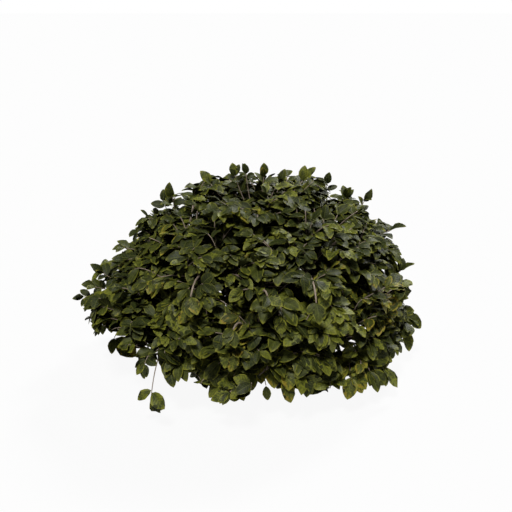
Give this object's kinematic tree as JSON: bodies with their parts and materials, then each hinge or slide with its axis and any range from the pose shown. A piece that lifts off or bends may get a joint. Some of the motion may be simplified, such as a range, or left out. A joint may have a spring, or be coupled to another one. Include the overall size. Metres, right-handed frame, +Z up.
{
  "type": "tea bush",
  "caption": "Low evergreen shrub with a wide domed crown of leathery leaves on tapering boughs from one short rooted stem.",
  "frame": {"origin": "middle of the flat cut under the stem, at ground level, where the bush is rooted", "axes": "+Z up, -Y towards the front of the bush, +X to the right seen from the front"},
  "size_m": [1.2419, 1.1111, 0.7189],
  "materials": {
    "bark": "rough grey-brown bark, smoother and paler on thin boughs",
    "foliage": "dark olive leathery leaves with paler margins and veins, some blotched with ochre"
  },
  "bodies": {
    "root": {"stem": "bark", "bough_top": "bark", "bough_upper_1": "bark", "bough_upper_2": "bark", "bough_upper_3": "bark", "bough_upper_4": "bark", "bough_upper_5": "bark", "bough_lower_1": "bark", "bough_lower_2": "bark", "bough_lower_3": "bark", "bough_lower_4": "bark", "bough_lower_5": "bark", "bough_lower_6": "bark", "bough_lower_7": "bark", "foliage_top": "foliage", "foliage_upper_1": "foliage", "foliage_upper_2": "foliage", "foliage_upper_3": "foliage", "foliage_upper_4": "foliage", "foliage_upper_5": "foliage", "foliage_lower_1": "foliage", "foliage_lower_2": "foliage", "foliage_lower_3": "foliage", "foliage_lower_4": "foliage", "foliage_lower_5": "foliage", "foliage_lower_6": "foliage", "foliage_lower_7": "foliage"}
  },
  "joints": []
}
